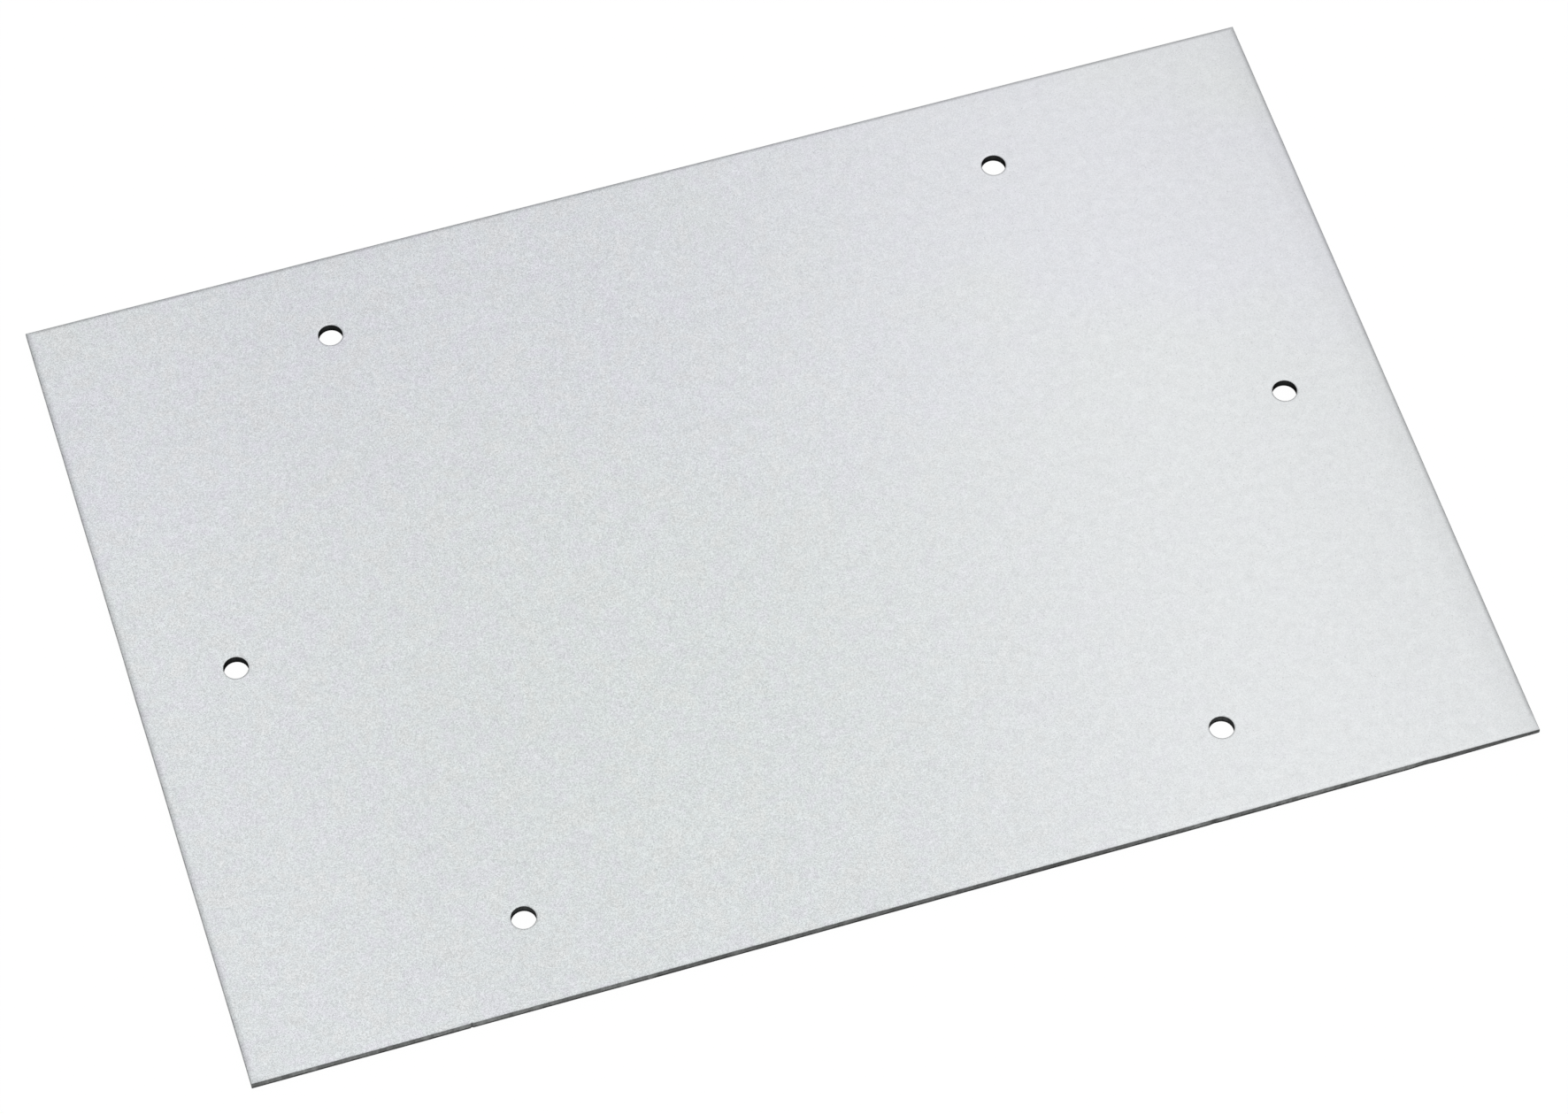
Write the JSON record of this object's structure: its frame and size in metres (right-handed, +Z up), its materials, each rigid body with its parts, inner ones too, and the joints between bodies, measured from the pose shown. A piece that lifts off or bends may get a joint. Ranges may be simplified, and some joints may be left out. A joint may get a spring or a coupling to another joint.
{
  "type": "mounting plate",
  "caption": "Flat rectangular mounting plate of galvanised steel sheet, with plain punched screw holes in a square pattern and on the middle line near both ends.",
  "frame": {"origin": "centre of the underside, the burr side of the sheet", "axes": "+X along the length, +Y across the width, +Z up out of the rolled upper face"},
  "size_m": [0.264, 0.183, 0.002],
  "materials": {
    "galvanised_sheet": "hot-dip galvanised steel sheet, fine minimised spangle, skin-passed, satin, with bare sheared edges"
  },
  "bodies": {
    "root": {"mounting_plate": "galvanised_sheet"}
  },
  "joints": []
}
